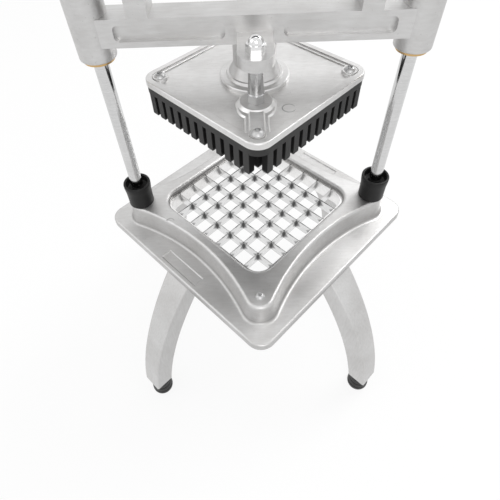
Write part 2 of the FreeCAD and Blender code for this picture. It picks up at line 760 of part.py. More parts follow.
for side in (-1, 1):
    sleeve = cylinder(sleeve_radius, sleeve_bottom, sleeve_top, side * rod_offset)
    sleeve_rims = level_edges(sleeve, sleeve_bottom) + level_edges(sleeve, sleeve_top)
    yoke = yoke.fuse(sleeve.makeFillet(sleeve_round, sleeve_rims))
    boss_y = side * front_boss_offset
    lug_ends = sorted((0, boss_y))
    lug = box((-lug_radius, lug_ends[0], yoke_bottom), (lug_radius, lug_ends[1], lug_top))
    lug_end = cylinder(lug_radius, yoke_bottom, lug_top, 0, boss_y)
    yoke = yoke.fuse(lug).fuse(lug_end)
    near = side * handle_span
    upright = box(
        (min(near, side * upright_outer), -upright_half_width, yoke_top - REACH),
        (max(near, side * upright_outer), upright_half_width, handle_height),
    )
    knuckle_start = Vec(near, 0, handle_height)
    knuckle = Part.makeCylinder(upright_head_radius, upright_thickness, knuckle_start, Vec(side, 0, 0))
    yoke = yoke.fuse(upright).fuse(knuckle)
for side in (-1, 1):
    bore_radius = bushing_radius + bushing_seat_clearance
    yoke = yoke.cut(cylinder(bore_radius, sleeve_bottom - REACH, sleeve_top + REACH, side * rod_offset))
    stud_hole_radius = stud_radius + hole_clearance
    stud_hole = cylinder(stud_hole_radius, yoke_bottom - REACH, lug_top + REACH, 0, side * front_boss_offset)
    yoke = yoke.cut(stud_hole)
bar_hole_half = upright_outer + REACH
bar_hole = lying_cylinder(handle_bar_radius + handle_bar_clearance, -bar_hole_half, bar_hole_half)
yoke = yoke.cut(bar_hole).removeSplitter()


def bushing(x):
    """A flanged bushing with a running fit on its rod."""
    body = cylinder(bushing_radius, flange_bottom, sleeve_top, x)
    body = body.fuse(cylinder(bushing_flange_radius, flange_bottom, sleeve_bottom, x))
    bore = cylinder(rod_radius + bushing_running_clearance, flange_bottom - REACH, sleeve_top + REACH, x)
    return body.cut(bore).removeSplitter()


# Studs, posts and cap nuts between the tray and the yoke
stud_top = lug_top + cap_nut_height + thread_beyond_nut
studs = []
posts = []
cap_nuts = []
for side in (-1, 1):
    y = side * front_boss_offset
    studs.append(cylinder(stud_radius, stud_bottom, stud_top, 0, y))
    post = cylinder(post_radius, boss_top, yoke_bottom, 0, y)
    post = post.makeFillet(post_round, level_edges(post, boss_top) + level_edges(post, yoke_bottom))
    post_bore = cylinder(stud_radius + hole_clearance, boss_top - REACH, yoke_bottom + REACH, 0, y)
    posts.append(post.cut(post_bore))
    hex_top = lug_top + cap_nut_height
    dome = Part.makeSphere(cap_nut_dome, Vec(0, y, hex_top))
    dome = dome.common(cylinder(cap_nut_dome, hex_top - JOIN, hex_top + cap_nut_dome + REACH, 0, y))
    nut = hex_prism(cap_nut_across, lug_top, hex_top, 0, y).fuse(dome)
    thread = cylinder(stud_radius + nut_clearance, lug_top - REACH, stud_top + thread_run_out, 0, y)
    cap_nuts.append(nut.cut(thread))

# Handle: a bar through both uprights, a grooved grip between them and a round nut on each end
bar_end = upright_outer + end_nut_bore - rod_end_gap
handle_bar = lying_cylinder(handle_bar_radius, -bar_end, bar_end)
grip_half = handle_span - grip_end_gap
handle_grip = lying_cylinder(grip_radius, -grip_half, grip_half)
end_edges = edges_where(handle_grip, lambda b: b.XLength < SAME)
handle_grip = handle_grip.makeFillet(grip_end_round, end_edges)
groove_count = int((grip_half - 2 * grip_end_round) / grip_groove_pitch)
for k in range(-groove_count, groove_count + 1):
    start = k * grip_groove_pitch - grip_groove_width / 2
    end = start + grip_groove_width
    core = lying_cylinder(grip_radius - grip_groove_depth, start - REACH, end + REACH)
    ring = lying_cylinder(grip_radius + REACH, start, end).cut(core)
    handle_grip = handle_grip.cut(ring)
grip_bore = lying_cylinder(handle_bar_radius + handle_bar_clearance, -grip_half - REACH, grip_half + REACH)
handle_grip = handle_grip.cut(grip_bore)
end_nut_shapes = []
for side in (-1, 1):
    ends = sorted((side * upright_outer, side * (upright_outer + end_nut_length)))
    nut = lying_cylinder(end_nut_radius, ends[0], ends[1])
    outer_face = side * (upright_outer + end_nut_length)
    rim = edges_where(nut, lambda b: b.XLength < SAME and abs(b.XMin - outer_face) < SAME)
    nut = nut.makeFillet(end_nut_round, rim)
    bore_ends = sorted((side * (upright_outer - REACH), side * (upright_outer + end_nut_bore)))
    bore = lying_cylinder(handle_bar_radius + nut_clearance, bore_ends[0], bore_ends[1])
    end_nut_shapes.append(nut.cut(bore))

nodes = {
    "base_plate": base_plate,
    "blade_frame": blade_frame,
    "blades_lower": blades_lower,
    "blades_upper": blades_upper,
    "blade_frame_screws": blade_frame_screws,
    "blade_frame_nuts": blade_frame_nuts,
    "leg_screws": group(leg_screws),
    "foot_screws": group(foot_screws),
    "guide_rod_left": guide_rod(-rod_offset),
    "guide_rod_right": guide_rod(rod_offset),
    "rod_washers": group(washers),
    "rod_nuts": group(nuts),
    "bumper_left": bumper(-rod_offset),
    "bumper_right": bumper(rod_offset),
    "rod_cap_left": rod_cap(-rod_offset),
    "rod_cap_right": rod_cap(rod_offset),
    "pusher_block": pusher_block,
    "pusher_tray": pusher_tray,
    "pusher_screws": pusher_screws,
    "yoke": yoke,
    "bushing_left": bushing(-rod_offset),
    "bushing_right": bushing(rod_offset),
    "tray_studs": group(studs),
    "spacer_posts": group(posts),
    "cap_nuts": group(cap_nuts),
    "handle_bar": handle_bar,
    "handle_grip": handle_grip,
    "handle_end_nuts": group(end_nut_shapes),
}
for place, degrees in DIAGONALS.items():
    nodes["leg_" + place] = diagonal_turn(one_leg, degrees)
    nodes["foot_" + place] = diagonal_turn(one_foot, degrees)

os.makedirs("parts", exist_ok=True)
for name, shape in nodes.items():
    shape.exportStep("parts/" + name + ".step")
    state = "valid" if shape.isValid() else "NOT VALID"
    print(name, len(shape.Solids), "solids", round(shape.Volume, 1), "mm3", state)
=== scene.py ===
# %% [markdown]
# # A push-down french fry cutter
# The cutter is a square cast base on four bowed legs. A grid of polished blades lies in its middle, and a
# head with a fingered black block slides on two rods and presses a potato through the grid. The exact
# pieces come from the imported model. This lesson gives each of them its finish, and makes anew the moulded
# and turned pieces whose small rounds and grooves are easier to write as surfaces.

# %% Load the frame
import math
import bmesh
import bpy
import numpy as np
from mathutils import Matrix, Vector


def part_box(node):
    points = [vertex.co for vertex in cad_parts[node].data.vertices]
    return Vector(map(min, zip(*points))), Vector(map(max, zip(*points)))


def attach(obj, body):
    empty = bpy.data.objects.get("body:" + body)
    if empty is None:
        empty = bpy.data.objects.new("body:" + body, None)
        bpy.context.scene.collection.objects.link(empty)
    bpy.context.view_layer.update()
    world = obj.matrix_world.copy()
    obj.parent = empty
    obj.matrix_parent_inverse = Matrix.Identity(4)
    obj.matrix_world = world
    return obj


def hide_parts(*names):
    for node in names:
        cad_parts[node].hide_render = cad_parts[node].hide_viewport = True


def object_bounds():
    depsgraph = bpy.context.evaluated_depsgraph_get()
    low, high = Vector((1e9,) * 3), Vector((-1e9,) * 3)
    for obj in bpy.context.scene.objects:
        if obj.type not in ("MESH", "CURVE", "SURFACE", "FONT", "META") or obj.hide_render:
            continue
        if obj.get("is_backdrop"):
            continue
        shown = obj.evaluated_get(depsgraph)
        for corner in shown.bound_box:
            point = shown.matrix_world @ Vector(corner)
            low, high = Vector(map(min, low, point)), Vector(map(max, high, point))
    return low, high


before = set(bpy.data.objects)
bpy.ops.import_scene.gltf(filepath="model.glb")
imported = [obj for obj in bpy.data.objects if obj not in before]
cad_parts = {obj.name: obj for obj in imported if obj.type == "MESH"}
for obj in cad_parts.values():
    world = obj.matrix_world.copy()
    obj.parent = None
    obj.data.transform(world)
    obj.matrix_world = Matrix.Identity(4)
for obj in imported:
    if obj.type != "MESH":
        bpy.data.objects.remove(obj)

cad_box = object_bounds()
MM = 0.001
OPENING_HALF, PLATE_TOP, PLATFORM_TOP = 46.0, 124.4, 139.0
BLADE_PITCH, BLADE_MIDDLE = 12.7, 131.0
PUSHER_HALF, TIP_BOTTOM, SLOT_TOP = 43.15, 214.0, 227.2
print("box in mm:", [round(v / MM, 1) for corner in cad_box for v in corner])

# %% [markdown]
# ## The camera first
# The photograph looks down at the blades from the front, about 49 degrees below level, and its middle was
# cropped afterwards. A lens shift stands for that crop. The focal length is kept in pixels of the 500
# pixel wide picture, because that is how it was fitted to the blade grid, and one line turns it into
# Blender's millimetres.

# %% The camera
PICTURE_WIDTH = 500
FOCAL_PIXELS = 435.68
MIDDLE_X, MIDDLE_Y = 240.86, 216.0
SENSOR = 36.0
camera_place = np.array([-4.99, -207.76, 360.55]) * MM
yaw, pitch, roll = -0.02878, 0.85997, -0.04916


def camera_axes():
    """The camera's right, up and back directions. Forward comes from yaw and pitch. Roll turns the others."""
    flat = math.cos(pitch)
    forward = np.array([math.sin(yaw) * flat, math.cos(yaw) * flat, -math.sin(pitch)])
    level = np.array([math.cos(yaw), -math.sin(yaw), 0.0])
    over = np.cross(level, forward)
    right = math.cos(roll) * level + math.sin(roll) * over
    up = -math.sin(roll) * level + math.cos(roll) * over
    return right, up, -forward


lens = bpy.data.cameras.new("photo_camera")
lens.sensor_width = SENSOR
lens.lens = FOCAL_PIXELS * SENSOR / PICTURE_WIDTH
lens.shift_x = (PICTURE_WIDTH / 2 - MIDDLE_X) / PICTURE_WIDTH
lens.shift_y = (MIDDLE_Y - PICTURE_WIDTH / 2) / PICTURE_WIDTH
lens.clip_start = 0.01
lens.clip_end = 20
camera = bpy.data.objects.new("photo_camera", lens)
turn = np.eye(4)
turn[:3, :3] = np.array(camera_axes()).T
turn[:3, 3] = camera_place
camera.matrix_world = Matrix(turn.tolist())
bpy.context.scene.collection.objects.link(camera)
bpy.context.scene.camera = camera
print("lens %.2f mm, shift %.4f, %.4f" % (lens.lens, lens.shift_x, lens.shift_y))

# %% [markdown]
# ## Shader sums written as Python
# A finish is a small sum of noises. Writing it with nodes by hand hides the sum, so a `Wire` holds one
# output of a node and lets `+`, `-` and `*` add the Math nodes. Any other node comes from `Sheet.node`,
# which takes its type, its settings and the values or wires of its sockets. A `Sheet` is a node tree, and
# a `Finish` is the sheet of one material.

# %% A wire and a finish
class Wire:
    """One output of a shader node. Arithmetic on it adds Math nodes to the same sheet."""

    def __init__(self, sheet, socket):
        self.sheet = sheet
        self.socket = socket

    def math(self, operation, first, second):
        return self.sheet.node("ShaderNodeMath", {"operation": operation}, {0: first, 1: second})

    def __add__(self, other):
        return self.math("ADD", self, other)

    def __radd__(self, other):
        return self.math("ADD", other, self)

    def __sub__(self, other):
        return self.math("SUBTRACT", self, other)

    def __rsub__(self, other):
        return self.math("SUBTRACT", other, self)

    def __mul__(self, other):
        return self.math("MULTIPLY", self, other)

    def __rmul__(self, other):
        return self.math("MULTIPLY", other, self)

    def __abs__(self):
        return self.math("ABSOLUTE", self, 0.0)

    def from_step(self, step):
        """How far a length is from the nearest odd half step: step * |fraction(length / step) - 1/2|."""
        share = self * (1.0 / step)
        return abs(share.math("FRACT", share, 0.0) - 0.5) * step


class Sheet:
    """A node tree, and a method that adds any node to it."""

    def __init__(self, tree):
        self.tree = tree

    def node(self, kind, settings, inputs, output=0):
        """Adds one node: its settings or a ramp's stops, then its sockets. Gives one output as a Wire."""
        made = self.tree.nodes.new(kind)
        for key, value in settings.items():
            if key == "stops":
                ramp = made.color_ramp
                while len(ramp.elements) < len(value):
                    ramp.elements.new(0.5)
                for element, (position, colour) in zip(ramp.elements, value):
                    element.position = position
                    element.color = (*colour, 1.0)
            else:
                setattr(made, key, value)
        for key, value in inputs.items():
            self.set(made.inputs[key], value)
        return Wire(self, made.outputs[output])

    def set(self, socket, value):
        if isinstance(value, Wire):
            self.tree.links.new(value.socket, socket)
        else:
            socket.default_value = value

    def seen_ray(self):
        """1 for a camera, glossy or transmission ray, and 0 for the rest."""
        path = self.node("ShaderNodeLightPath", {}, {}, "Is Camera Ray")
        outputs = path.socket.node.outputs
        glossy = Wire(self, outputs["Is Glossy Ray"])
        through = Wire(self, outputs["Is Transmission Ray"])
        return path.math("MAXIMUM", path, path.math("MAXIMUM", glossy, through))


class Finish(Sheet):
    """The sheet of a material with one Principled shader."""

    def __init__(self, name):
        self.material = bpy.data.materials.new(name)
        self.material.use_nodes = True
        super().__init__(self.material.node_tree)
        self.shader = self.tree.nodes["Principled BSDF"]
        self.place = self.node("ShaderNodeTexCoord", {}, {}, "Object")

    def surface(self, **values):
        """Sets the shader's own sockets. An underscore in a name stands for a space."""
        for key, value in values.items():
            self.set(self.shader.inputs[key.replace("_", " ")], value)

    def noise(self, size_mm, detail=3.0, stretch=(1, 1, 1), roughness=0.5):
        """A noise from 0 to 1 with blots about size_mm wide. stretch above 1 draws them out along an axis."""
        scale = [1.0 / (size_mm * MM * s) for s in stretch]
        spot = self.node("ShaderNodeMapping", {}, {"Vector": self.place, "Scale": scale})
        return self.node("ShaderNodeTexNoise", {},
                         {"Vector": spot, "Scale": 1.0, "Detail": detail, "Roughness": roughness})

    def height(self):
        return self.node("ShaderNodeSeparateXYZ", {}, {0: self.place}, "Z")

    def diagonals(self):
        """The distances along both diagonals: u = (x + y) / sqrt(2) and v = (y - x) / sqrt(2)."""
        x = self.node("ShaderNodeSeparateXYZ", {}, {0: self.place}, "X")
        y = Wire(self, x.socket.node.outputs["Y"])
        return (x + y) * math.sqrt(0.5), (y - x) * math.sqrt(0.5)

    def square_reach(self):
        """The larger of |u| and |v|, which is the same all along a square that stands on its corner."""
        u, v = self.diagonals()
        return u.math("MAXIMUM", abs(u), abs(v))

    def ramp(self, factor, low, high, dark, light):
        """A colour that goes from dark, where the factor is low, to light, where it is high."""
        return self.node("ShaderNodeValToRGB", {"stops": [(low, dark), (high, light)]}, {"Fac": factor})

    def mix(self, factor, first, second):
        """A colour that goes from the first to the second as the factor goes from 0 to 1."""
        return self.node("ShaderNodeMix", {"data_type": "RGBA"}, {0: factor, 6: first, 7: second}, 2)

    def spread(self, factor, low, high, to_low, to_high):
        """The factor from low to high, carried to the range from to_low to to_high and held there."""
        return self.node("ShaderNodeMapRange", {"clamp": True}, {
            "Value": factor, "From Min": low, "From Max": high, "To Min": to_low, "To Max": to_high})

    def bump(self, height, depth_mm, strength=1.0, under=None):
        """A bump whose full height is depth_mm."""
        inputs = {"Height": height, "Distance": depth_mm * MM, "Strength": strength}
        if under is not None:
            inputs["Normal"] = under
        return self.node("ShaderNodeBump", {}, inputs)


def grey(level, warmth=0.0):
    """A grey with a little more red than blue when warmth is above 0."""
    return (level * (1 + warmth), level, level * (1 - warmth))


def shade(colour, share):
    """The colour made darker or lighter by a share, for the stops of a ramp."""
    return tuple(share * part for part in colour)


print("shader tools ready")

# %% [markdown]
# ## Cast aluminium
# The base, legs, tray and yoke are polished castings. A polished casting is not a mirror: tumbling leaves
# a soft orange peel, the pores of the casting show as small dark points, and polishing leaves faint long
# strokes. Each of the three is one noise, and together they vary the colour, the roughness and the bump.
# The walls inside the blade opening and a fine line along the platform's foot get a painted shade: the
# colour falls there to stand for the shade and the dark reflections in those places.

# %% Cast aluminium
def cast_aluminium(name, level, rough, peel_mm=0.55, stroke_axis=(1, 1, 1), painted_shade_within_mm=None):
    f = Finish(name)
    cloud = f.noise(26, 3, roughness=0.6)
    peel = f.noise(peel_mm * 2.4, 3)
    grain = f.noise(0.45, 2)
    strokes = f.noise(0.5, 2, stretch=stroke_axis)
    pores = f.spread(f.noise(0.9, 1), 0.27, 0.2, 0.0, 1.0)
    tone = cloud * 0.55 + strokes * 0.3 + grain * 0.15
    polished = f.ramp(tone, 0.36, 0.64, grey(level * 0.88, 0.012), grey(level * 1.08, 0.004))
    pores_and_painted_shade = f.mix(pores * 0.5, polished, (*grey(level * 0.45, 0.02), 1.0))
    # Painted shade: the colour darkens on the walls inside the blade opening and in a fine line along the
    # platform's foot.
    if painted_shade_within_mm is not None:
        z = f.height()
        reach = f.square_reach()
        inside = f.spread(reach, (painted_shade_within_mm + 0.6) * MM, (painted_shade_within_mm + 1.7) * MM, 0.8, 0.0)
        walls = inside * f.spread(z, (PLATFORM_TOP - 1.6) * MM, (PLATFORM_TOP - 0.3) * MM, 1.0, 0.0)
        rising = f.spread(z, (PLATE_TOP + 0.1) * MM, (PLATE_TOP + 0.6) * MM, 0.0, 0.6)
        foot = rising * f.spread(z, (PLATE_TOP + 1.2) * MM, (PLATE_TOP + 2.0) * MM, 1.0, 0.0)
        pores_and_painted_shade = f.mix(walls + foot, pores_and_painted_shade, (*grey(level * 0.45, 0.02), 1.0))
    roughness = f.spread(cloud * 0.5 + grain * 0.5, 0.3, 0.7, rough - 0.06, rough + 0.08)
    height = peel * 0.6 + grain * 0.25 + strokes * 0.15 - pores * 0.5
    f.surface(Base_Color=pores_and_painted_shade, Metallic=1.0, Roughness=roughness, Normal=f.bump(height, 0.03))
    return f.material


# The base gets the painted shade inside the blade opening and along the platform's foot.
base_metal = cast_aluminium("base_casting_polish", 0.56, 0.44, stroke_axis=(14, 3, 3),
                            painted_shade_within_mm=OPENING_HALF)
leg_metal = cast_aluminium("leg_casting_polish", 0.60, 0.46, stroke_axis=(2, 2, 16))
tray_metal = cast_aluminium("tray_casting_polish", 0.69, 0.38, stroke_axis=(10, 3, 3))
yoke_metal = cast_aluminium("yoke_casting_polish", 0.58, 0.40, stroke_axis=(16, 3, 3))
frame_metal = cast_aluminium("blade_frame_casting", 0.88, 0.30, stroke_axis=(4, 4, 4))
mark_metal = cast_aluminium("casting_mark_tone", 0.40, 0.50)
print("castings:", base_metal.name, leg_metal.name, tray_metal.name, yoke_metal.name, frame_metal.name)

# %% [markdown]
# ## Drawn, ground and plated metal
# The blades are cold-rolled strip, ground along their length. The rods are drawn bar, polished by turning
# them against a belt, so their marks run round them. Screws are rolled and tumbled. One function makes
# all of these from the direction of the marks, which is why it asks for a stretch along each axis. Below
# every blade crossing the colour falls in a dark diamond, a painted shade that stands for the shade and
# the mutual reflections of the two walls there. It falls where the distance to the crossing, as a share
# of the diamond's width, and the height from its middle, as a share of its own half height, add up to
# less than 1.

# %% Worked metal
def worked_metal(name, colour, rough, marks, mark_mm=0.16, depth_mm=0.004, crossing_mm=None):
    f = Finish(name)
    cloud = f.noise(9, 2)
    lines = f.noise(mark_mm, 3, stretch=marks, roughness=0.65)
    wide_lines = f.noise(mark_mm * 5, 2, stretch=marks)
    tone = lines * 0.5 + wide_lines * 0.3 + cloud * 0.2
    streaks_and_painted_shade = f.ramp(tone, 0.35, 0.65, shade(colour, 0.86), shade(colour, 1.07))
    # Painted shade: a dark diamond below each blade crossing, standing for the shade and mutual reflection of
    # the walls there.
    if crossing_mm is not None:
        u, v = f.diagonals()
        away = u.from_step(crossing_mm * MM) + v.from_step(crossing_mm * MM)
        from_middle = abs(f.height() - BLADE_MIDDLE * MM)
        diamond = 4.4 * MM
        corner = f.spread(away * (1 / diamond) + from_middle * (1 / diamond), 0.65, 1.1, 0.9, 0.0)
        streaks_and_painted_shade = f.mix(corner, streaks_and_painted_shade, (*shade(colour, 0.25), 1.0))
    roughness = f.spread(tone, 0.3, 0.7, rough * 0.75, rough * 1.35)
    f.surface(Base_Color=streaks_and_painted_shade, Metallic=1.0, Roughness=roughness, Normal=f.bump(lines, depth_mm))
    return f.material


# The blades get the painted shade below each crossing.
blade_steel = worked_metal("ground_blade_steel", grey(0.78), 0.14, (7, 7, 1), crossing_mm=BLADE_PITCH)
rod_steel = worked_metal("belt_polished_rod", grey(0.64), 0.13, (9, 9, 0.8))
screw_steel = worked_metal("tumbled_screw_steel", grey(0.50), 0.44, (1, 1, 1), mark_mm=0.5)
post_steel = worked_metal("turned_post_steel", grey(0.44), 0.20, (8, 8, 0.8), depth_mm=0.003)
trim_chrome = worked_metal("plated_trim", grey(0.78), 0.12, (8, 8, 0.8), depth_mm=0.002)
bushing_metal = worked_metal("turned_bronze", (0.60, 0.40, 0.18), 0.30, (9, 9, 0.6))
worked = (blade_steel, rod_steel, screw_steel, post_steel, trim_chrome, bushing_metal)
print("worked metals:", [metal.name for metal in worked])

# %% [markdown]
# ## Rubber and moulded plastic
# The bumpers and feet are black rubber with a dull skin and a little dust. The pusher block is moulded in
# a harder dark grey plastic with a fine spark-eroded grain and a low sheen. Both are dark, so their look
# comes from roughness more than from colour. The narrow slots between the fingers get a painted shade:
# their colour falls almost to black just inside the block's outer faces, between the round tips and the
# top of the slots, and they are made rougher there.

# %% Rubber and plastic
def moulded(name, level, rough, grain_mm, depth_mm, sheen, dust=0.0, slots_mm=None):
    f = Finish(name)
    grain = f.noise(grain_mm, 3)
    cloud = f.noise(7, 3, roughness=0.6)
    scuffs = f.spread(f.noise(1.1, 4, stretch=(1, 1, 3), roughness=0.7), 0.60, 0.74, 0.0, 1.0)
    colour = f.ramp(grain * 0.4 + cloud * 0.6, 0.34, 0.68, grey(level * 0.75), grey(level * 1.25, 0.01))
    dust_and_painted_slot_shade = f.mix(scuffs * dust, colour, (*grey(0.16, 0.02), 1.0))
    roughness = f.spread(grain * 0.6 + cloud * 0.4, 0.3, 0.7, rough - 0.07, rough + 0.08) + scuffs * 0.08
    # Painted shade: the slots between the fingers are darkened almost to black.
    if slots_mm is not None:
        face, tips, tops = slots_mm
        z = f.height()
        inside = f.spread(f.square_reach(), (face - 0.5) * MM, (face - 0.15) * MM, 1.0, 0.0)
        above_tips = f.spread(z, (tips + 1.2) * MM, (tips + 2.4) * MM, 0.0, 1.0)
        slot = inside * above_tips * f.spread(z, (tops - 0.1) * MM, (tops + 0.1) * MM, 1.0, 0.0)
        dust_and_painted_slot_shade = f.mix(slot, dust_and_painted_slot_shade, (*grey(0.001), 1.0))
        roughness = roughness + slot * 0.35
    f.surface(Base_Color=dust_and_painted_slot_shade, Roughness=roughness, Specular_IOR_Level=sheen,
              Normal=f.bump(grain, depth_mm))
    return f.material


rubber = moulded("black_rubber_skin", 0.008, 0.42, 0.35, 0.02, 0.26, dust=0.08)
# The pusher block gets the painted shade in the slots between its fingers.
pusher_plastic = moulded("pusher_grained_plastic", 0.026, 0.55, 0.28, 0.02, 0.34, dust=0.04,
                         slots_mm=(PUSHER_HALF, TIP_BOTTOM, SLOT_TOP))
cap_plastic = moulded("cap_smooth_plastic", 0.014, 0.36, 0.5, 0.01, 0.35, dust=0.04)
grip_rubber = moulded("grip_rubber_skin", 0.012, 0.52, 0.4, 0.03, 0.3, dust=0.1)
print("moulded:", rubber.name, pusher_plastic.name, cap_plastic.name, grip_rubber.name)

# %% [markdown]
# ## Which piece gets which finish
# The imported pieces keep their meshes. Only the material in each slot changes.

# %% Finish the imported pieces
finishes = {
    "base_plate": base_metal, "blade_frame": frame_metal, "pusher_tray": tray_metal, "yoke": yoke_metal,
    "blades_lower": blade_steel, "blades_upper": blade_steel, "pusher_block": pusher_plastic,
    "guide_rod_left": rod_steel, "guide_rod_right": rod_steel, "handle_bar": rod_steel,
    "bushing_left": bushing_metal, "bushing_right": bushing_metal,
    "bumper_left": rubber, "bumper_right": rubber,
    "rod_cap_left": cap_plastic, "rod_cap_right": cap_plastic,
    "handle_grip": grip_rubber, "spacer_posts": post_steel, "cap_nuts": trim_chrome,
    "handle_end_nuts": trim_chrome,
}
for node_name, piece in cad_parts.items():
    if node_name.startswith("leg_") and node_name != "leg_screws":
        metal = leg_metal
    elif node_name.startswith("foot_") and node_name != "foot_screws":
        metal = rubber
    else:
        metal = finishes.get(node_name, screw_steel)
    piece.data.materials.clear()
    piece.data.materials.append(metal)
print("finished", len(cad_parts), "packed pieces")

# %% [markdown]
# ## Surfaces from numpy
# A turned or moulded piece is a closed outline of radius and height, carried round an axis. `rounded`
# replaces each corner of the outline by an arc, and `turned` carries it round as one grid of points. A
# function of the angle can push the outline in and out, which gives flutes and ribs.

# %% Outlines and turned surfaces
ARC_STEPS = 6


def rounded(corners, radii):
    """An outline with round corners. Each corner c gives way to the curve that starts at a and ends at b, a
    radius away from c along its two sides: (1 - t)^2 a + 2 t (1 - t) c + t^2 b."""
    corners = np.asarray(corners, float)
    back = np.roll(corners, 1, axis=0) - corners
    ahead = np.roll(corners, -1, axis=0) - corners
    back_length = np.linalg.norm(back, axis=1, keepdims=True)
    ahead_length = np.linalg.norm(ahead, axis=1, keepdims=True)
    reach = np.minimum(np.asarray(radii, float)[:, None], 0.49 * np.minimum(back_length, ahead_length))
    start = corners + back / back_length * reach
    end = corners + ahead / ahead_length * reach
    t = np.linspace(0, 1, ARC_STEPS)[None, :, None]
    arcs = (1 - t) ** 2 * start[:, None] + 2 * t * (1 - t) * corners[:, None] + t ** 2 * end[:, None]
    return arcs.reshape(-1, 2)


def put_in_mesh(name, grid, body, material, ring=True):
    """Puts a grid of points into a mesh: each point joins its next neighbour in both directions. The first
    direction always closes. The second closes for a ring, and otherwise runs from pole to pole. Points that
    fall together, as at a pole, become one, and the faces are turned outwards."""
    around, along = grid.shape[:2]
    i, j = np.meshgrid(np.arange(around), np.arange(along if ring else along - 1), indexing="ij")
    i_next, j_next = (i + 1) % around, (j + 1) % along
    faces = np.stack([i * along + j, i_next * along + j, i_next * along + j_next, i * along + j_next], -1)
    mesh = bpy.data.meshes.new(name)
    mesh.from_pydata(grid.reshape(-1, 3).tolist(), [], faces.reshape(-1, 4).tolist())
    merged = bmesh.new()
    merged.from_mesh(mesh)
    bmesh.ops.remove_doubles(merged, verts=merged.verts, dist=1e-6)
    bmesh.ops.recalc_face_normals(merged, faces=merged.faces)
    merged.to_mesh(mesh)
    merged.free()
    mesh.polygons.foreach_set("use_smooth", np.ones(len(mesh.polygons), bool))
    mesh.set_sharp_from_angle(angle=math.radians(38))
    mesh.materials.append(material)
    piece = bpy.data.objects.new(name, mesh)
    bpy.context.scene.collection.objects.link(piece)
    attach(piece, body)
    return piece


def turned(name, outline, centre, body, material, segments=96, shape=None, ring=True):
    """A piece turned about an upright axis: x and y are the centre plus radius times cosine and sine of the
    angle, and z is the height. shape(angle, radius, height) gives a changed radius."""
    angle = np.linspace(0, 2 * math.pi, segments, endpoint=False)[:, None]
    radius, height = outline[None, :, 0], outline[None, :, 1]
    if shape is not None:
        radius = shape(angle, radius, height)
    x = centre[0] + radius * np.cos(angle)
    y = centre[1] + radius * np.sin(angle)
    z = height + 0 * angle
    return put_in_mesh(name, np.stack([x, y, z], -1), body, material, ring)


def round_box(node_name):
    """The middle, radius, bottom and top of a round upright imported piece, from its box."""
    low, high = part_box(node_name)
    middle = ((low.x + high.x) / 2, (low.y + high.y) / 2)
    return middle, (high.x - low.x) / 2, low.z, high.z


rod_middle, rod_radius, rod_low, rod_high = round_box("guide_rod_left")
print("rod radius %.2f mm at x %.1f mm" % (rod_radius / MM, rod_middle[0] / MM))

# %% [markdown]
# ## The rubber bumpers
# The head comes down on two rubber sleeves. In the photograph each is a little wider at its top and opens
# round its rod in a deep cup with a thin soft rim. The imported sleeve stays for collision, and this one is
# shown.

# %% The bumpers
bumper_fit = 0.15 * MM
cup_radius, cup_depth = 7.3 * MM, 5.0 * MM
for side in ("left", "right"):
    middle, radius, low, high = round_box("bumper_" + side)
    bore = rod_radius + bumper_fit
    outline = rounded([
        (bore, low), (radius * 0.95, low), (radius * 0.935, low + 2.5 * MM),
        (radius * 0.945, high - 7 * MM),
        (radius, high - 3 * MM), (radius, high), (cup_radius, high), (cup_radius * 0.97, high - cup_depth),
        (bore, high - cup_depth),
    ], np.array([0.2, 0.7, 1.5, 3.0, 2.0, 0.8, 0.7, 1.2, 0.3]) * MM)
    piece = turned("bumper_sleeve_" + side, outline, middle, "base", rubber)
    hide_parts("bumper_" + side)
print("bumpers: radius %.1f mm, height %.1f mm" % (radius / MM, (high - low) / MM))

# %% [markdown]
# ## The feet
# Each foot is a tall rubber plug with a round belly, a narrower neck under the leg, and a socket below
# for its screw. Two shallow grooves round the belly are the mould's relief.

# %% The feet
foot_socket, foot_socket_depth, foot_bore = 3.9 * MM, 6.0 * MM, 1.85 * MM
for corner in ("front_left", "front_right", "rear_left", "rear_right"):
    middle, radius, low, high = round_box("foot_" + corner)
    outline = rounded([
        (foot_bore, high), (foot_bore, low + foot_socket_depth), (foot_socket, low + foot_socket_depth),
        (foot_socket, low), (radius * 0.80, low), (radius, low + 2.6 * MM),
        (radius, low + 6.2 * MM), (radius * 0.95, low + 7.0 * MM), (radius * 0.97, low + 7.9 * MM),
        (radius * 0.93, low + 11.0 * MM), (radius * 0.885, low + 11.8 * MM),
        (radius * 0.90, low + 12.7 * MM),
        (radius * 0.87, high - 3 * MM), (radius * 0.78, high),
    ], np.array([0.1, 0.1, 0.1, 0.5, 1.4, 2.0, 0.6, 0.5, 0.6, 0.6, 0.5, 0.6, 1.5, 0.8]) * MM)
    piece = turned("rubber_foot_" + corner, outline, middle, "base", rubber)
    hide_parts("foot_" + corner)
print("feet: radius %.1f mm, height %.1f mm" % (radius / MM, (high - low) / MM))

# %% [markdown]
# ## The rod caps
# A moulded cap stops the head at the top of each rod. Its skirt is fluted so that a hand can turn it. The
# flutes are a cosine of the angle, faded out towards the dome.

